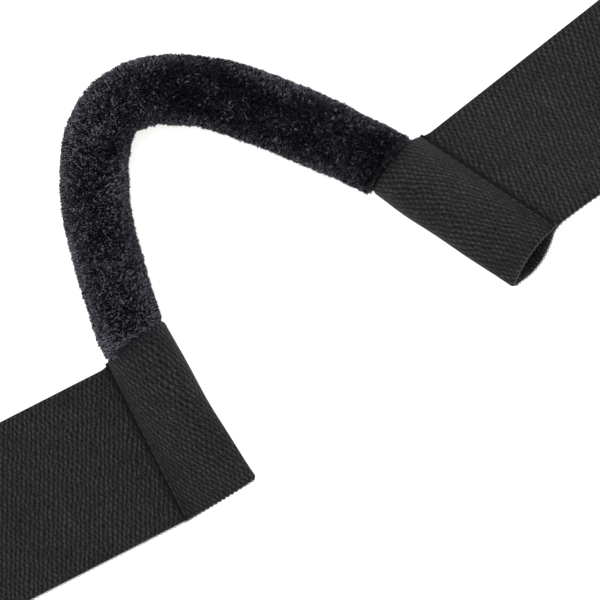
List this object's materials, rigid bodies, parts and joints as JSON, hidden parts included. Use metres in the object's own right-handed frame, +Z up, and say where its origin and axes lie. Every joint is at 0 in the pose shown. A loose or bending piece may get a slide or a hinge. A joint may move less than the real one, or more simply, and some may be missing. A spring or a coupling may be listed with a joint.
{
  "type": "stretching strap",
  "caption": "Stretching strap lying on a floor: a padded plush rope handle bent into a U, held in stitched tunnels at the ends of wide elastic arms with sewn foot loops.",
  "frame": {"origin": "under the middle of the strap's bounding box, on the floor it lies on", "axes": "+Z up from the floor, +X to the right and +Y away as the picture shows the strap from above"},
  "size_m": [0.5612, 0.392, 0.0325],
  "materials": {
    "elastic": "woven elastic, matt",
    "plush": "short plush pile with a soft sheen",
    "foam": "open-cell foam tube",
    "rope": "braided polypropylene rope",
    "thread": "bonded polyester sewing thread"
  },
  "bodies": {
    "handle": {"plush_sleeve": "plush", "sleeve_seam_thread": "thread", "foam_core": "foam", "core_rope": "rope", "left_sleeve_binding": "thread", "left_rope_whipping": "thread", "left_rope_tack": "thread", "left_tunnel": "elastic", "left_seam_thread": "thread"},
    "right_end": {"right_tunnel": "elastic", "right_seam_thread": "thread", "right_rope_tack": "thread", "right_sleeve_binding": "thread", "right_rope_whipping": "thread"},
    "left_arm": {"left_arm_web": "elastic"},
    "right_arm": {"right_arm_web": "elastic"},
    "left_loop": {"left_foot_loop": "elastic", "left_loop_stitching": "thread"},
    "right_loop": {"right_foot_loop": "elastic", "right_loop_stitching": "thread"}
  },
  "joints": [
    {"name": "handle_bend", "type": "hinge", "parent": "handle", "child": "right_end", "pos_m": [-0.04459, 0.04102, 0.0102], "axis": [0, 0, 1], "range_deg": [-30, 75], "deforming": ["plush_sleeve", "sleeve_seam_thread", "foam_core", "core_rope"]},
    {"name": "left_fold", "type": "hinge", "parent": "handle", "child": "left_arm", "pos_m": [-0.0487, -0.03331, 0.001], "axis": [-0.454, 0.891, 0], "range_deg": [-80, 90]},
    {"name": "right_fold", "type": "hinge", "parent": "right_end", "child": "right_arm", "pos_m": [0.04536, 0.0347, 0.00183], "axis": [0.7052, -0.5314, 0.4695], "range_deg": [-80, 90]},
    {"name": "left_stretch", "type": "slide", "parent": "left_arm", "child": "left_loop", "axis": [-0.891, -0.454, 0], "range_m": [0, 0.07], "stiffness_N_per_m": 250, "deforming": ["left_arm_web"]},
    {"name": "right_stretch", "type": "slide", "parent": "right_arm", "child": "right_loop", "axis": [0.7848, 0.6198, 0], "range_m": [0, 0.07], "stiffness_N_per_m": 250, "deforming": ["right_arm_web"]}
  ]
}
